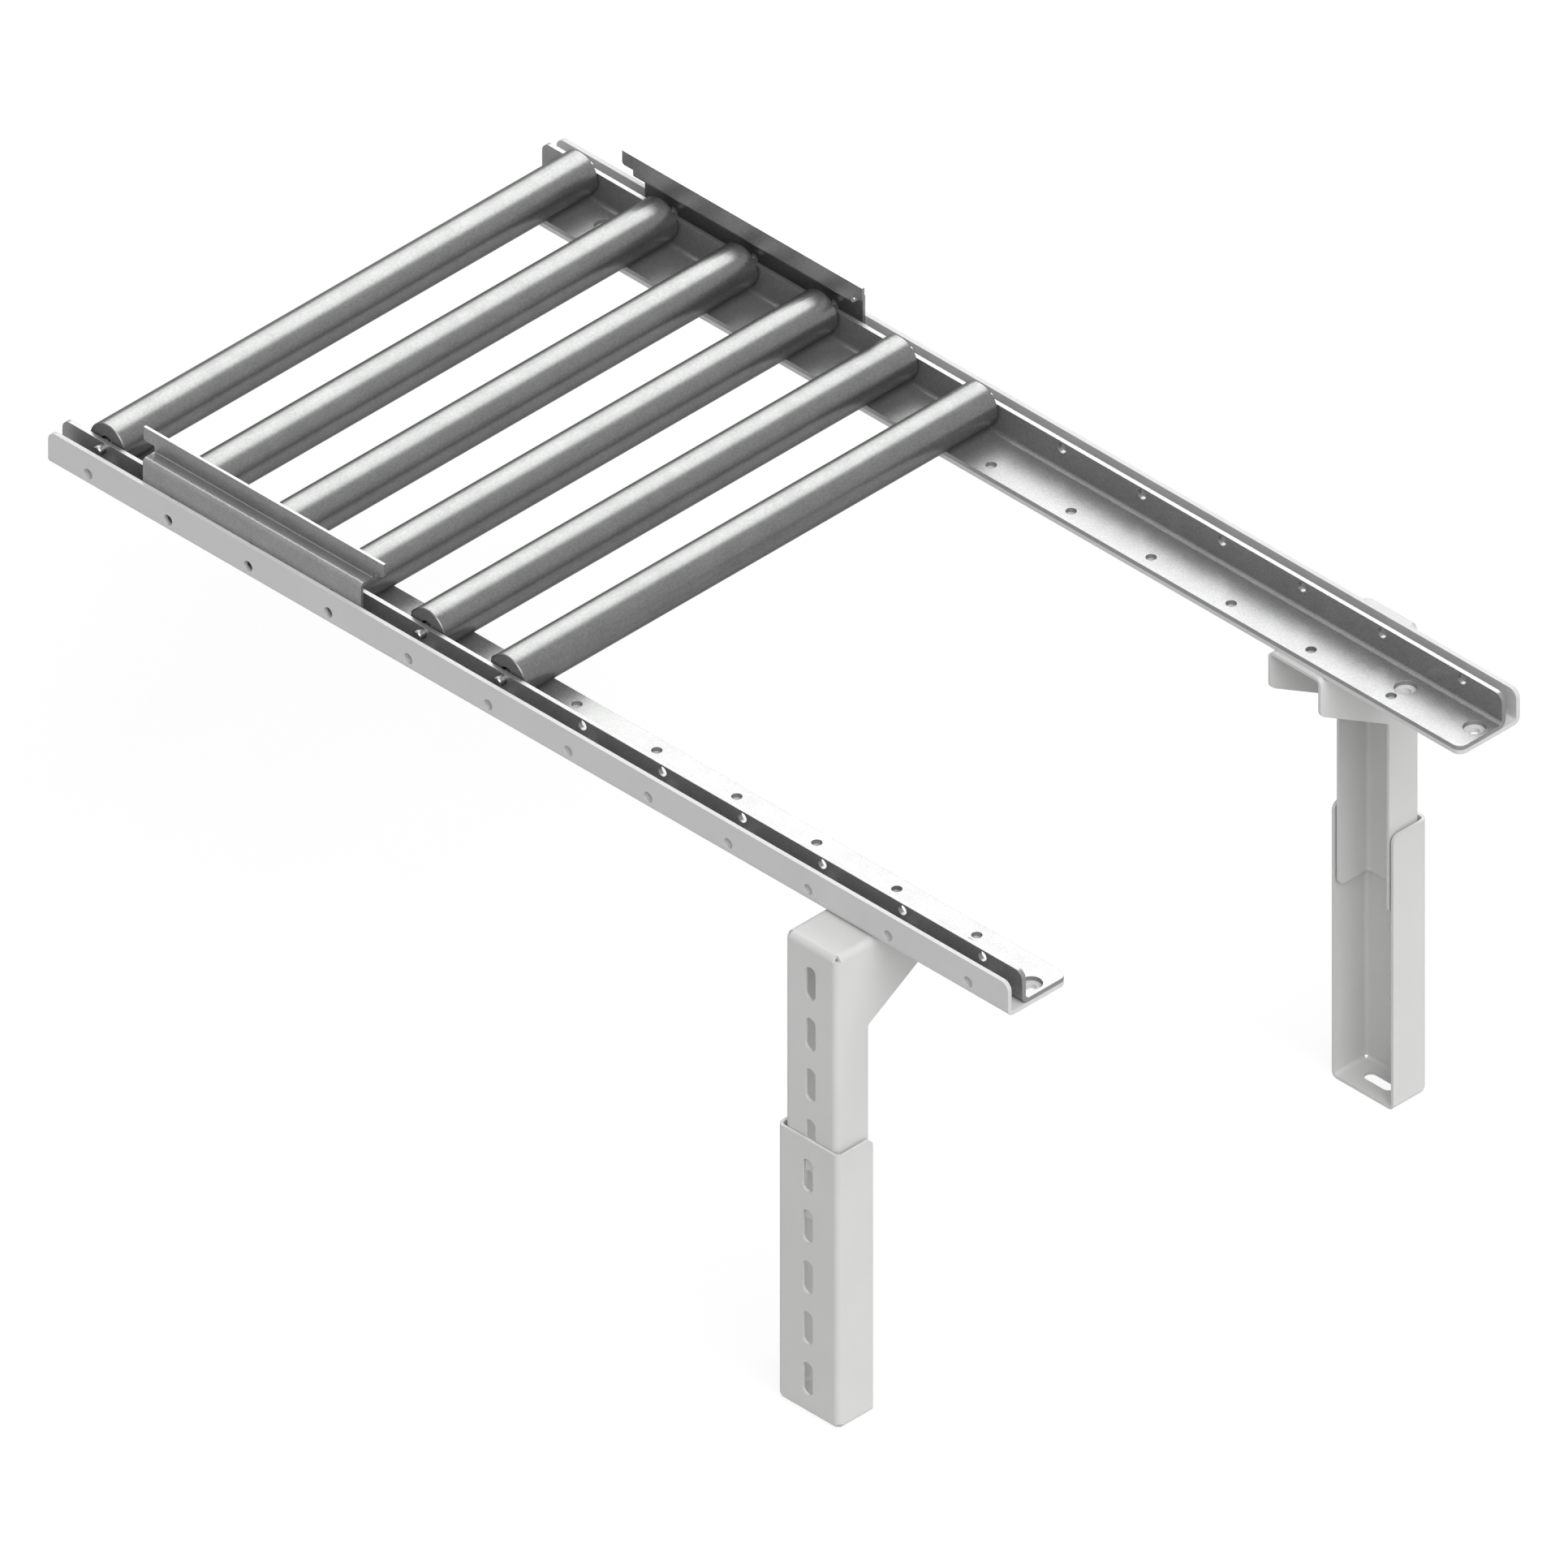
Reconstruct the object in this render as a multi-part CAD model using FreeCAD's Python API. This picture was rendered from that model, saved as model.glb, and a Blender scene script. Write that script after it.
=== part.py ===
import FreeCAD, Part
import math
import os
from FreeCAD import Vector

# Flow rack roller track, in millimetres.
# X runs along the rails, Y across the track along the roller axes, Z is up.
# The origin lies on the floor plane under the middle of the track.

# Track: two rails, each a painted outer angle with a steel inner angle welded on it
rail_length = 1200.0
track_width = 640.0
deck_height = 506.0
rail_sheet = 4.5
outer_rail_height = 35.5
outer_rail_width = 75.0
outer_rail_inside_bend = 2.5
inner_rail_height = 35.0
inner_rail_inside_bend = 4.0
flange_gap = 13.4
rail_corner_radius = 9.0

# Hole rows of the rails
hole_pitch = 100.0
hole_count = 12
first_hole_from_end = 50.0
outer_hole_diameter = 10.5
outer_hole_height = 13.7
axle_height = 32.5
floor_hole_diameter = 10.0
floor_hole_inset = 61.0

# Recessed screw holes near the rail ends: small in the outer angle, large in the inner one
screw_hole_diameter = 10.0
screw_recess_diameter = 21.0
screw_hole_inset = 43.0
screw_hole_end_distances = (14.0, 100.0)

# Rollers
roller_count = 6
roller_diameter = 44.0
roller_wall = 1.5
roller_end_gap = 1.6
tube_edge_chamfer = 0.8

# Roller axles
axle_diameter = 10.0
axle_hole_clearance = 0.2
axle_stick_out = 7.4
axle_chamfer = 1.0

# Roller bearings in their end housings
bearing_outer_diameter = 26.0
bearing_width = 8.0
bearing_ring_wall = 2.2
bearing_bore_clearance = 0.05
shield_gap = 0.3
housing_fit = 0.05
housing_lip = 1.5
housing_depth = 14.0
housing_mouth_diameter = 19.0
thrust_gap = 0.3

# Side guides: a folded fence that drops into the gap between the two flanges
guide_sheet = 3.0
guide_inside_bend = 1.0
guide_end_distance = 250.0
guide_fold_length = 272.5
guide_fence_length = 300.0
guide_clearance = 0.2
guide_fence_height = 20.1
guide_tab_height = 14.5
guide_lift = 17.4
guide_slot_count = 3
guide_corner_radius = 3.0

# Legs: an upper bracket welded under the rail slides in a lower bracket
leg_end_distance = 202.0
leg_sheet = 3.0
leg_inside_bend = 3.5
leg_relief = 5.5
leg_corner_radius = 8.0
leg_standoff = 45.0
upper_width = 65.5
upper_depth = 39.3
upper_height = 296.5
upper_slot_drop = 41.8
gusset_reach = 125.0
gusset_end_height = 38.8
gusset_foot_drop = 89.9
gusset_end_radius = 10.0
gusset_foot_radius = 3.0
lower_depth = 43.3
lower_side_gap = 2.75
lower_web_gap = 0.5
lower_slot_margin = 38.25

# Slots of the legs
slot_width = 13.0
slot_length = 35.0
slot_pitch = 55.0
slot_count = 5

# How far a cutting tool runs past the wall it cuts, and how near two places count as one
cut_over = 1.0
tolerance = 0.01

# Values that follow from the sizes above
half_length = rail_length / 2
guide_center = guide_end_distance - half_length
leg_center = half_length - leg_end_distance
half_width = track_width / 2
gap_outer = rail_sheet
gap_inner = rail_sheet + flange_gap
track_inner_face = gap_inner + rail_sheet
inner_rail_width = outer_rail_width - gap_inner
inner_rail_base = deck_height + rail_sheet
flange_top = inner_rail_base + inner_rail_height
axle_z = deck_height + axle_height
axle_hole_diameter = axle_diameter + 2 * axle_hole_clearance
floor_hole_radius = floor_hole_diameter / 2
tube_half = half_width - track_inner_face - roller_end_gap
tube_bore_radius = roller_diameter / 2 - roller_wall
hole_row = [first_hole_from_end - half_length + i * hole_pitch for i in range(hole_count)]
floor_hole_row = [0.5 * (a + b) for a, b in zip(hole_row[:-1], hole_row[1:])]
web_face = half_width + leg_standoff
lower_width = upper_width + 2 * (leg_sheet + lower_side_gap)
lower_web_face = web_face + leg_sheet + lower_web_gap
lower_height = 2 * lower_slot_margin + (slot_count - 1) * slot_pitch


def block(x0, x1, y0, y1, z0, z1):
    return Part.makeBox(x1 - x0, y1 - y0, z1 - z0, Vector(x0, y0, z0))


def rod_y(radius, x, z, y0, y1):
    return Part.makeCylinder(radius, y1 - y0, Vector(x, y0, z), Vector(0, 1, 0))


def rod_z(radius, x, y, z0, z1):
    return Part.makeCylinder(radius, z1 - z0, Vector(x, y, z0), Vector(0, 0, 1))


def mirrored(shape):
    return shape.mirror(Vector(0, 0, 0), Vector(0, 1, 0))


def round_edges(shape, radius, chosen):
    edges = [e for e in shape.Edges if chosen(e)]
    return shape.makeFillet(radius, edges)


def middle(edge):
    return edge.valueAt(0.5 * (edge.FirstParameter + edge.LastParameter))


def near(a, b):
    return abs(a - b) < tolerance


def runs_along(edge, axis):
    box = edge.BoundBox
    spans = {"x": box.XLength, "y": box.YLength, "z": box.ZLength}
    own = spans.pop(axis)
    return own > tolerance and max(spans.values()) < tolerance


# A bent profile in the YZ plane: straight runs, with an arc at each corner that has a radius
def bent_face(corners, x):
    points = [Vector(x, y, z) for y, z, radius in corners]
    edges = []
    last = None
    first = None
    count = len(points)
    for i, (y, z, radius) in enumerate(corners):
        here = points[i]
        back = (points[i - 1] - here).normalize()
        ahead = (points[(i + 1) % count] - here).normalize()
        if radius > 0:
            half = 0.5 * back.getAngle(ahead)
            run = radius / math.tan(half)
            start = here + back * run
            end = here + ahead * run
            bisector = (back + ahead).normalize()
            crown = here + bisector * (radius / math.sin(half) - radius)
        else:
            start = here
            end = here
        if last is not None and last.distanceToPoint(start) > tolerance:
            edges.append(Part.LineSegment(last, start).toShape())
        if radius > 0:
            edges.append(Part.Arc(start, crown, end).toShape())
        if first is None:
            first = start
        last = end
    edges.append(Part.LineSegment(last, first).toShape())
    return Part.Face(Part.Wire(edges))


# Angle section: the vertical flange stands on the outer side, the leg points inwards
def angle_bar(outer_face, base, height, width, inside_bend):
    outside_bend = inside_bend + rail_sheet
    top = base + height
    floor = base + rail_sheet
    corners = [
        (outer_face, top, 0),
        (outer_face, base, outside_bend),
        (outer_face + width, base, 0),
        (outer_face + width, floor, 0),
        (outer_face + rail_sheet, floor, inside_bend),
        (outer_face + rail_sheet, top, 0),
    ]
    bar = bent_face(corners, -half_length).extrude(Vector(rail_length, 0, 0))

    def end_corner(edge):
        p = middle(edge)
        on_end = near(abs(p.x), half_length)
        flange_corner = runs_along(edge, "y") and near(p.z, top)
        leg_corner = runs_along(edge, "z") and near(p.y, outer_face + width)
        return on_end and (flange_corner or leg_corner)

    return round_edges(bar, rail_corner_radius, end_corner)


def screw_places():
    return [side * (half_length - d) for side in (-1, 1) for d in screw_hole_end_distances]


# Row of upright holes through the legs of both angles
def leg_holes(places, inset, radius):
    low = deck_height - cut_over
    high = inner_rail_base + rail_sheet + cut_over
    return [rod_z(radius, x, inset - half_width, low, high) for x in places]


def outer_rail():
    bar = angle_bar(
        -half_width, deck_height, outer_rail_height, outer_rail_width, outer_rail_inside_bend
    )
    radius = outer_hole_diameter / 2
    z = deck_height + outer_hole_height
    near_side = -half_width - cut_over
    far_side = rail_sheet + cut_over - half_width
    holes = [rod_y(radius, x, z, near_side, far_side) for x in hole_row]
    holes += leg_holes(floor_hole_row, floor_hole_inset, floor_hole_radius)
    holes += leg_holes(screw_places(), screw_hole_inset, screw_hole_diameter / 2)
    return bar.cut(holes)


def inner_rail():
    face = gap_inner - half_width
    bar = angle_bar(
        face, inner_rail_base, inner_rail_height, inner_rail_width, inner_rail_inside_bend
    )
    radius = axle_hole_diameter / 2
    near_side = face - cut_over
    far_side = face + rail_sheet + cut_over
    holes = [rod_y(radius, x, axle_z, near_side, far_side) for x in hole_row]
    holes += leg_holes(floor_hole_row, floor_hole_inset, floor_hole_radius)
    holes += leg_holes(screw_places(), screw_hole_inset, screw_recess_diameter / 2)
    return bar.cut(holes)


# Turned shape about the roller axis: points are (radius, depth inwards from the tube end)
def turned(points, x):
    corners = [Vector(x + radius, depth - tube_half, axle_z) for radius, depth in points]
    face = Part.Face(Part.makePolygon(corners + corners[:1]))
    return face.revolve(Vector(x, 0, axle_z), Vector(0, 1, 0), 360)


def both_ends(piece):
    return Part.makeCompound([piece, mirrored(piece)])


def roller_tube(x):
    outer = rod_y(roller_diameter / 2, x, axle_z, -tube_half, tube_half)

    def rim(edge):
        return edge.BoundBox.YLength < tolerance

    outer = outer.makeChamfer(tube_edge_chamfer, [e for e in outer.Edges if rim(e)])
    return outer.cut(rod_y(tube_bore_radius, x, axle_z, -tube_half - cut_over, tube_half + cut_over))


# Housing pressed into the tube: an end wall round the axle and a seat that is open behind
def roller_housings(x):
    skirt = tube_bore_radius - housing_fit
    seat = bearing_outer_diameter / 2
    mouth = housing_mouth_diameter / 2
    points = [
        (mouth, 0),
        (skirt, 0),
        (skirt, housing_depth),
        (seat, housing_depth),
        (seat, housing_lip),
        (mouth, housing_lip),
    ]
    return both_ends(turned(points, x))


# Outer ring with the shields that close it down to the inner ring
def outer_rings(x):
    outside = bearing_outer_diameter / 2 - housing_fit
    shield = axle_diameter / 2 + bearing_ring_wall + shield_gap
    front = housing_lip
    back = housing_lip + bearing_width
    points = [(outside, front), (outside, back), (shield, back), (shield, front)]
    return both_ends(turned(points, x))


# Inner ring, longer on the outside so that it keeps the tube off the rail
def inner_rings(x):
    bore = axle_diameter / 2 + bearing_bore_clearance
    outside = axle_diameter / 2 + bearing_ring_wall
    points = [
        (bore, thrust_gap - roller_end_gap),
        (outside, thrust_gap - roller_end_gap),
        (outside, housing_lip + bearing_width),
        (bore, housing_lip + bearing_width),
    ]
    return both_ends(turned(points, x))


def axle(x):
    half = half_width - gap_inner + axle_stick_out
    rod = rod_y(axle_diameter / 2, x, axle_z, -half, half)

    def rim(edge):
        return edge.BoundBox.YLength < tolerance

    return rod.makeChamfer(axle_chamfer, [e for e in rod.Edges if rim(e)])


# Side guide: leg in the gap, step over the inner flange, upright fence
def side_guide():
    outside_bend = guide_inside_bend + guide_sheet
    leg_face = gap_outer + guide_clearance - half_width
    fence_face = track_inner_face - guide_sheet - half_width
    step_top = flange_top + guide_clearance + guide_lift + guide_sheet
    fence_top = step_top + guide_fence_height
    tab_bottom = fence_top - guide_tab_height
    foot = inner_rail_base + outer_rail_inside_bend + guide_clearance + guide_lift
    start = guide_center - guide_fold_length / 2
    corners = [
        (leg_face, foot, 0),
        (leg_face, step_top, outside_bend),
        (fence_face, step_top, guide_inside_bend),
        (fence_face, fence_top, 0),
        (fence_face + guide_sheet, fence_top, 0),
        (fence_face + guide_sheet, step_top - guide_sheet, outside_bend),
        (leg_face + guide_sheet, step_top - guide_sheet, guide_inside_bend),
        (leg_face + guide_sheet, foot, 0),
    ]
    fold = bent_face(corners, start).extrude(Vector(guide_fold_length, 0, 0))
    half_fence = guide_fence_length / 2
    fence = block(
        guide_center - half_fence,
        guide_center + half_fence,
        fence_face,
        fence_face + guide_sheet,
        tab_bottom,
        fence_top,
    )

    def lower_corner(edge):
        return runs_along(edge, "y") and near(middle(edge).z, tab_bottom)

    fence = round_edges(fence, guide_corner_radius, lower_corner)
    guide = fold.fuse(fence).removeSplitter()
    slots = []
    radius = outer_hole_diameter / 2
    slot_top = deck_height + outer_hole_height + guide_lift
    for i in range(guide_slot_count):
        x = guide_center + (i - (guide_slot_count - 1) / 2) * hole_pitch
        y0 = leg_face - cut_over
        y1 = leg_face + guide_sheet + cut_over
        slots.append(rod_y(radius, x, slot_top, y0, y1))
        slots.append(block(x - radius, x + radius, y0, y1, foot - cut_over, slot_top))
    return guide.cut(slots)


# Slot with round ends, cut along Y through a web
def upright_slot(x, z, y0, y1):
    radius = slot_width / 2
    half = slot_length / 2 - radius
    ends = [rod_y(radius, x, z - half, y0, y1), rod_y(radius, x, z + half, y0, y1)]
    return block(x - radius, x + radius, y0, y1, z - half, z + half).fuse(ends)


def slot_row(web, top_slot):
    row = [top_slot - i * slot_pitch for i in range(slot_count)]
    near_side = -web - cut_over
    far_side = leg_sheet + cut_over - web
    return [upright_slot(leg_center, z, near_side, far_side) for z in row]


# Folds of a bracket blank: two up the web, two round the plate and the one between web and plate
def fold_edges(shape, side, corner, radius):
    def fold(edge):
        p = middle(edge)
        on_side = near(abs(p.x), side)
        upright = runs_along(edge, "z") and on_side and near(p.y, corner)
        crown = runs_along(edge, "y") and on_side and near(p.z, corner)
        ridge = runs_along(edge, "x") and near(p.y, corner) and near(p.z, corner)
        return upright or crown or ridge

    return round_edges(shape, radius, fold)


# Folded bracket with its web on y = 0 and its plate on z = 0; the outline is that of a flange
def folded_bracket(outline, width):
    half = width / 2
    outside_bend = leg_inside_bend + leg_sheet
    depth = max(y for y, z, radius in outline)
    height = max(z for y, z, radius in outline)
    blank = bent_face(outline, -half).extrude(Vector(width, 0, 0))
    blank = fold_edges(blank, half, 0, outside_bend)
    inside = block(
        leg_sheet - half,
        half - leg_sheet,
        leg_sheet,
        depth + outside_bend,
        leg_sheet,
        height + outside_bend,
    )
    cuts = [fold_edges(inside, half - leg_sheet, leg_sheet, leg_inside_bend)]
    for x in (-half, half - leg_relief):
        cuts.append(block(x, x + leg_relief, 0, leg_relief, 0, leg_relief))
    return blank.cut(cuts)


# Upper bracket: its plate is welded under the rail and its flanges widen into gussets
def upper_bracket():
    outline = [
        (0, 0, 0),
        (gusset_reach, 0, 0),
        (gusset_reach, gusset_end_height, gusset_end_radius),
        (upper_depth, gusset_foot_drop, gusset_foot_radius),
        (upper_depth, upper_height, leg_corner_radius),
        (0, upper_height, 0),
    ]
    body = folded_bracket(outline, upper_width).mirror(Vector(0, 0, 0), Vector(0, 0, 1))
    body.translate(Vector(leg_center, -web_face, deck_height))
    return body.cut(slot_row(web_face, deck_height - upper_slot_drop))


# Lower bracket: wider channel round the upper one, with its plate as the foot
def lower_bracket():
    outline = [
        (0, 0, 0),
        (lower_depth, 0, 0),
        (lower_depth, lower_height, leg_corner_radius),
        (0, lower_height, 0),
    ]
    body = folded_bracket(outline, lower_width)
    body.translate(Vector(leg_center, -lower_web_face, 0))
    return body.cut(slot_row(lower_web_face, lower_height - lower_slot_margin) + [foot_slot()])


def foot_slot():
    radius = slot_width / 2
    reach = slot_length / 2 - radius
    y = lower_depth / 2 - lower_web_face
    low = -cut_over
    high = leg_sheet + cut_over
    ends = [rod_z(radius, leg_center + side * reach, y, low, high) for side in (-1, 1)]
    bar = block(leg_center - reach, leg_center + reach, y - radius, y + radius, low, high)
    return bar.fuse(ends)


parts = {}


def add_pair(name, shape):
    parts[name + "_front"] = shape
    parts[name + "_rear"] = mirrored(shape)


add_pair("rail_outer", outer_rail())
add_pair("rail_inner", inner_rail())
add_pair("side_guide", side_guide())
add_pair("bracket_upper", upper_bracket())
add_pair("bracket_lower", lower_bracket())

for number, x in enumerate(hole_row[:roller_count], start=1):
    parts[f"roller_{number}_tube"] = roller_tube(x)
    parts[f"roller_{number}_housings"] = roller_housings(x)
    parts[f"roller_{number}_outer_rings"] = outer_rings(x)
    parts[f"roller_{number}_inner_rings"] = inner_rings(x)
    parts[f"roller_{number}_axle"] = axle(x)

os.makedirs("parts", exist_ok=True)
for name, shape in parts.items():
    shape.exportStep("parts/" + name + ".step")
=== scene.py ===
import math

import bpy
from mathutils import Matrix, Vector

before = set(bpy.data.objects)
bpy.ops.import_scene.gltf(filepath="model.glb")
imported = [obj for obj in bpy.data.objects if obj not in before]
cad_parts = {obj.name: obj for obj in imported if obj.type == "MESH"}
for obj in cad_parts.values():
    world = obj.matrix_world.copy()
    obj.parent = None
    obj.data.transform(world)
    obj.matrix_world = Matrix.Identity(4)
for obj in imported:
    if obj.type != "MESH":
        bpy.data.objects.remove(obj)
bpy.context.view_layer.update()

# Flow rack roller track in painted and plated steel, on a white studio floor.
# Metres, in the frame of the CAD model: X along the rails, Y across them, Z up.

# Camera of the photograph: a parallel view from above one corner
view_azimuth = math.radians(45.0)
view_elevation = math.atan(1 / math.sqrt(2))
view_target = Vector((0.0, 0.0, 0.299))
view_width = 1.386
camera_distance = 6.0

# Lamps, and the light that the world and the floor give or show
ambient = 0.42
side_sun_direction = Vector((0.54, -0.15, 0.60))
side_sun_strength = 2.1
side_sun_angle = math.radians(50.0)
back_fill_direction = Vector((-0.50, 0.70, 0.30))
back_fill_strength = 0.6
back_fill_angle = math.radians(60.0)
lamp_distance = 4.0
softbox_size = 4.0
back_softbox_direction = Vector((-0.46, 0.577, 0.67))
back_softbox_glare = 5.4
front_softbox_direction = Vector((0.46, -0.577, 0.67))
front_softbox_glare = 4.0
floor_size = 30.0
floor_glow = 0.87
floor_shade = 0.16
floor_bounce = 0.70

# Surface grain, in repeats per metre
speckle_scale = 620.0
mottle_scale = 38.0
cloud_scale = 9.5
peel_scale = 900.0

# Depth of the grain, and the radius at which edges catch the light
grain_depth = 0.0002
plastic_depth = 0.0001
edge_radius = 0.0005
edge_samples = 4

# Powder coat: its gloss is below that of a clear lacquer
paint_gloss = 0.35
paint_roughness = (0.46, 0.58)
paint_relief = 0.10
cloud_shade = 0.965

# Plated steel: how much of its glare it keeps at a grazing angle, and its grain
rim_tint = 0.25
mottle_shade = 0.9
sheet_relief = 0.12

# Share of bright metal in each plating, whose rest scatters light as a grey coat does
zinc_sheen = 0.56
guide_sheen = 0.7
tube_sheen = 0.75

# Grain of the drawn tubes: longer along the tube, and shallower than that of the folded sheet
tube_stretch = (1.0, 0.5, 1.0)
tube_relief = 0.04

# Moulded plastic
plastic_roughness = 0.5
plastic_relief = 0.15
plastic_fleck = 1.5


def new_material(name):
    material = bpy.data.materials.new(name)
    material.use_nodes = True
    tree = material.node_tree
    return material, tree, tree.nodes["Principled BSDF"]


def add(tree, kind, **values):
    node = tree.nodes.new(kind)
    for key, value in values.items():
        setattr(node, key, value)
    return node


def noise(tree, scale, detail, roughness=0.5, stretch=(1, 1, 1)):
    place = add(tree, "ShaderNodeTexCoord")
    mapping = add(tree, "ShaderNodeMapping")
    mapping.inputs["Scale"].default_value = stretch
    texture = add(tree, "ShaderNodeTexNoise")
    texture.inputs["Scale"].default_value = scale
    texture.inputs["Detail"].default_value = detail
    texture.inputs["Roughness"].default_value = roughness
    tree.links.new(place.outputs["Object"], mapping.inputs["Vector"])
    tree.links.new(mapping.outputs["Vector"], texture.inputs["Vector"])
    return texture.outputs["Fac"]


def ramp(tree, value, stops):
    node = add(tree, "ShaderNodeValToRGB")
    elements = node.color_ramp.elements
    while len(elements) < len(stops):
        elements.new(0.5)
    for element, (position, level) in zip(elements, stops):
        element.position = position
        element.color = (*level, 1) if isinstance(level, tuple) else (level, level, level, 1)
    tree.links.new(value, node.inputs["Fac"])
    return node.outputs["Color"]


def multiply(tree, a, b):
    node = add(tree, "ShaderNodeMix", data_type="RGBA", blend_type="MULTIPLY")
    node.inputs["Factor"].default_value = 1.0
    tree.links.new(a, node.inputs["A"])
    tree.links.new(b, node.inputs["B"])
    return node.outputs["Result"]


# Fine relief on top of softened edges
def surface(tree, shader, height, strength, distance):
    edge = add(tree, "ShaderNodeBevel", samples=edge_samples)
    edge.inputs["Radius"].default_value = edge_radius
    bump = add(tree, "ShaderNodeBump")
    bump.inputs["Strength"].default_value = strength
    bump.inputs["Distance"].default_value = distance
    tree.links.new(height, bump.inputs["Height"])
    tree.links.new(edge.outputs["Normal"], bump.inputs["Normal"])
    tree.links.new(bump.outputs["Normal"], shader.inputs["Normal"])


# Powder coat: even light grey with a fine orange peel and faint clouds
def powder_coat(name, tint):
    material, tree, shader = new_material(name)
    shader.inputs["Specular IOR Level"].default_value = paint_gloss
    clouds = noise(tree, cloud_scale, detail=3)
    dark = tuple(cloud_shade * c for c in tint)
    tree.links.new(ramp(tree, clouds, [(0.35, dark), (0.65, tint)]), shader.inputs["Base Color"])
    peel = noise(tree, peel_scale, detail=2)
    smooth, rough = paint_roughness
    tree.links.new(ramp(tree, peel, [(0.3, smooth), (0.7, rough)]), shader.inputs["Roughness"])
    surface(tree, shader, peel, paint_relief, grain_depth)
    return material


# Plated steel: dark grey metal with a fine speckle and a slow mottle
def plated_steel(name, tint, roughness, speckle, sheen=1.0, stretch=(1, 1, 1), relief=sheet_relief):
    material, tree, shader = new_material(name)
    shader.inputs["Metallic"].default_value = sheen
    shader.inputs["Specular Tint"].default_value = (rim_tint, rim_tint, rim_tint, 1)
    grain = noise(tree, speckle_scale, detail=4, roughness=0.65, stretch=stretch)
    mottle = noise(tree, mottle_scale, detail=3)
    low = tuple(c * (1 - speckle) for c in tint)
    high = tuple(c * (1 + speckle) for c in tint)
    fine = ramp(tree, grain, [(0.36, low), (0.64, high)])
    slow = ramp(tree, mottle, [(0.3, mottle_shade), (0.7, 1.0)])
    tree.links.new(multiply(tree, fine, slow), shader.inputs["Base Color"])
    spread = ramp(tree, grain, [(0.3, roughness - relief / 2), (0.7, roughness + relief / 2)])
    tree.links.new(spread, shader.inputs["Roughness"])
    surface(tree, shader, grain, relief, grain_depth)
    return material


# Moulded plastic: one dark tint with a faint lighter fleck
def moulded_plastic(name, tint):
    material, tree, shader = new_material(name)
    grain = noise(tree, peel_scale, detail=3)
    light = tuple(plastic_fleck * c for c in tint)
    tree.links.new(ramp(tree, grain, [(0.4, tint), (0.7, light)]), shader.inputs["Base Color"])
    shader.inputs["Roughness"].default_value = plastic_roughness
    surface(tree, shader, grain, plastic_relief, plastic_depth)
    return material


rail_paint = powder_coat("rail_paint", (0.68, 0.68, 0.68))
leg_paint = powder_coat("leg_paint", (0.68, 0.68, 0.675))
rail_steel = plated_steel(
    "rail_steel", (0.28, 0.283, 0.28), roughness=0.36, speckle=0.13, sheen=zinc_sheen
)
guide_steel = plated_steel(
    "guide_steel", (0.29, 0.293, 0.29), roughness=0.38, speckle=0.12, sheen=guide_sheen
)
tube_steel = plated_steel(
    "tube_steel",
    (0.18, 0.183, 0.18),
    roughness=0.30,
    speckle=0.12,
    sheen=tube_sheen,
    stretch=tube_stretch,
    relief=tube_relief,
)
axle_steel = plated_steel("axle_steel", (0.34, 0.34, 0.34), roughness=0.28, speckle=0.08)
bearing_steel = plated_steel("bearing_steel", (0.40, 0.40, 0.41), roughness=0.22, speckle=0.06)
grey_plastic = moulded_plastic("grey_plastic", (0.10, 0.10, 0.10))

# Finish of every CAD node, by a part of its name
finishes = {
    "rail_outer": rail_paint,
    "rail_inner": rail_steel,
    "side_guide": guide_steel,
    "bracket_": leg_paint,
    "_tube": tube_steel,
    "_housings": grey_plastic,
    "_rings": bearing_steel,
    "_axle": axle_steel,
}


def finish_of(node_name):
    return next(material for key, material in finishes.items() if key in node_name)


for node_name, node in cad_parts.items():
    node.data.materials.clear()
    node.data.materials.append(finish_of(node_name))


def link(obj):
    bpy.context.scene.collection.objects.link(obj)
    return obj


# Camera, backed off from the target along the line of sight
camera_back = Vector((
    math.sin(view_azimuth) * math.cos(view_elevation),
    -math.cos(view_azimuth) * math.cos(view_elevation),
    math.sin(view_elevation),
))
camera = link(bpy.data.objects.new("camera", bpy.data.cameras.new("camera")))
camera.data.type = "ORTHO"
camera.data.ortho_scale = view_width
camera.location = view_target + camera_back * camera_distance
camera.rotation_euler = (-camera_back).to_track_quat("-Z", "Y").to_euler()
bpy.context.scene.camera = camera


# A lamp at the given side of the object, turned towards it
def aimed_lamp(name, kind, direction):
    lamp = link(bpy.data.objects.new(name, bpy.data.lights.new(name, kind)))
    lamp.location = view_target + direction.normalized() * lamp_distance
    lamp.rotation_euler = (-direction).to_track_quat("-Z", "Y").to_euler()
    return lamp


def soft_sun(name, direction, strength, angle):
    sun = aimed_lamp(name, "SUN", direction)
    sun.data.energy = strength
    sun.data.angle = angle
    return sun


# A square panel that adds gloss and no plain light; its glare is the brightness of its face
def softbox(name, direction, glare):
    panel = aimed_lamp(name, "AREA", direction)
    panel.data.shape = "SQUARE"
    panel.data.size = softbox_size
    panel.data.energy = glare * math.pi * softbox_size ** 2
    panel.visible_diffuse = False


# Lamps: a soft key from the right, a weak fill from behind without gloss, and a softbox on each side
soft_sun("side_sun", side_sun_direction, side_sun_strength, side_sun_angle)
back_fill = soft_sun("back_fill", back_fill_direction, back_fill_strength, back_fill_angle)
back_fill.visible_glossy = False
softbox("back_softbox", back_softbox_direction, back_softbox_glare)
softbox("front_softbox", front_softbox_direction, front_softbox_glare)


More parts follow.
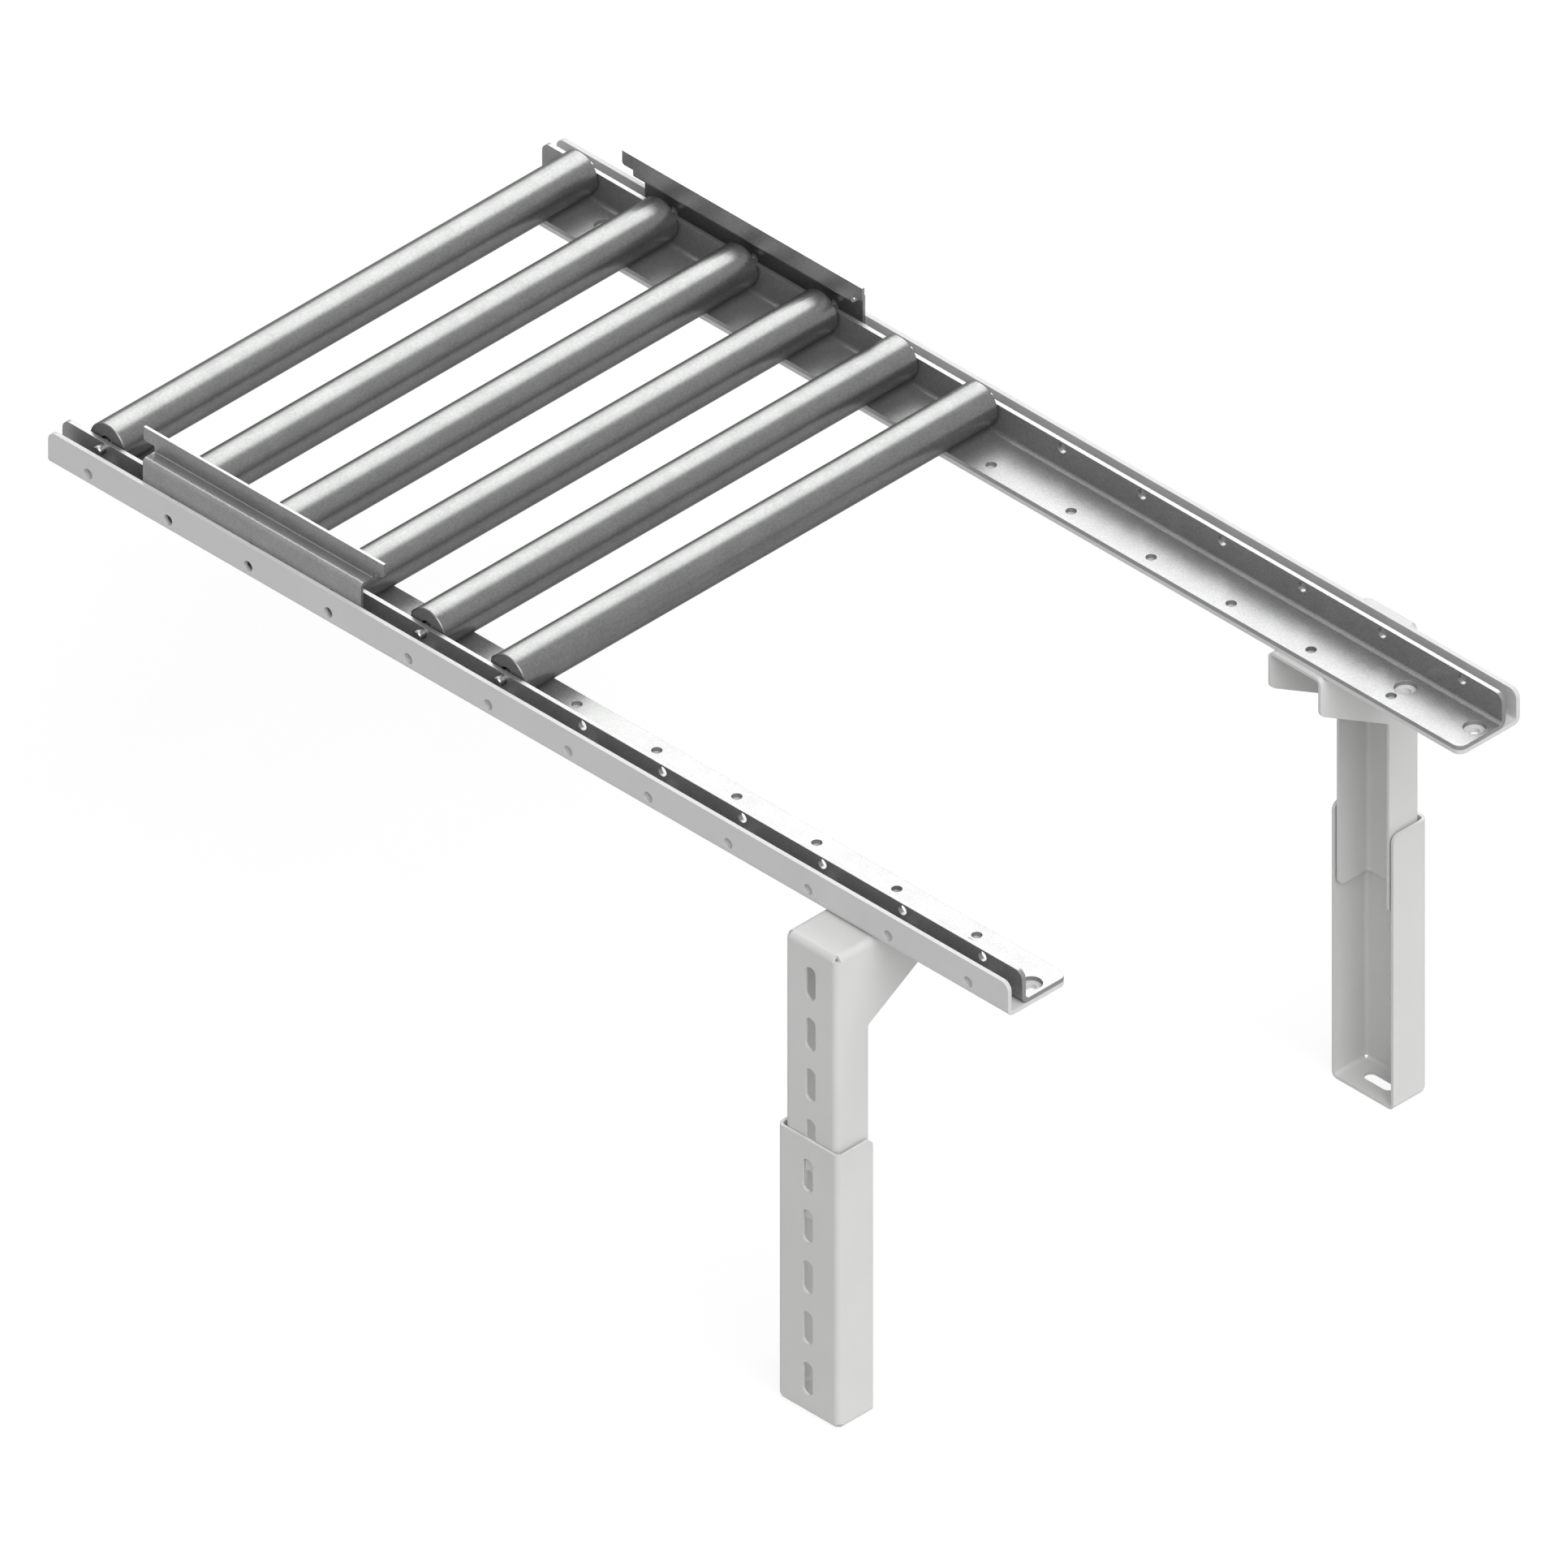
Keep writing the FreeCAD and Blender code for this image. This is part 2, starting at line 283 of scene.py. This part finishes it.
# Whether a ray shows the background: seen directly, mirrored or through something
def background_ray(tree):
    path = add(tree, "ShaderNodeLightPath")
    total = path.outputs["Is Camera Ray"]
    for name in ("Is Glossy Ray", "Is Transmission Ray"):
        either = add(tree, "ShaderNodeMath", operation="MAXIMUM")
        tree.links.new(total, either.inputs[0])
        tree.links.new(path.outputs[name], either.inputs[1])
        total = either.outputs[0]
    return total


# World: white as a background, dimmer as light
world = bpy.data.worlds.new("studio")
world.use_nodes = True
bpy.context.scene.world = world
sky = world.node_tree
sky_shader = sky.nodes["Background"]
level = add(sky, "ShaderNodeMapRange")
level.inputs["To Min"].default_value = ambient
level.inputs["To Max"].default_value = 1.0
sky.links.new(background_ray(sky), level.inputs["Value"])
sky.links.new(level.outputs["Result"], sky_shader.inputs["Strength"])
sky_shader.inputs["Color"].default_value = (1, 1, 1, 1)

# Floor: white in the picture, with the object's soft shadow on it
bpy.ops.mesh.primitive_plane_add(size=floor_size)
floor = bpy.context.object
floor.name = "floor"
floor_material, floor_tree, floor_shader = new_material("floor_white")
floor_tree.nodes.remove(floor_shader)
bounce = add(floor_tree, "ShaderNodeBsdfDiffuse")
bounce.inputs["Color"].default_value = (floor_bounce, floor_bounce, floor_bounce, 1)
shade = add(floor_tree, "ShaderNodeBsdfDiffuse")
shade.inputs["Color"].default_value = (floor_shade, floor_shade, floor_shade, 1)
glow = add(floor_tree, "ShaderNodeEmission")
glow.inputs["Strength"].default_value = floor_glow
seen = add(floor_tree, "ShaderNodeAddShader")
floor_tree.links.new(shade.outputs[0], seen.inputs[0])
floor_tree.links.new(glow.outputs[0], seen.inputs[1])
choice = add(floor_tree, "ShaderNodeMixShader")
floor_tree.links.new(background_ray(floor_tree), choice.inputs["Fac"])
floor_tree.links.new(bounce.outputs[0], choice.inputs[1])
floor_tree.links.new(seen.outputs[0], choice.inputs[2])
floor_tree.links.new(choice.outputs[0], floor_tree.nodes["Material Output"].inputs["Surface"])
floor.data.materials.append(floor_material)

bpy.context.scene.view_settings.view_transform = "Standard"
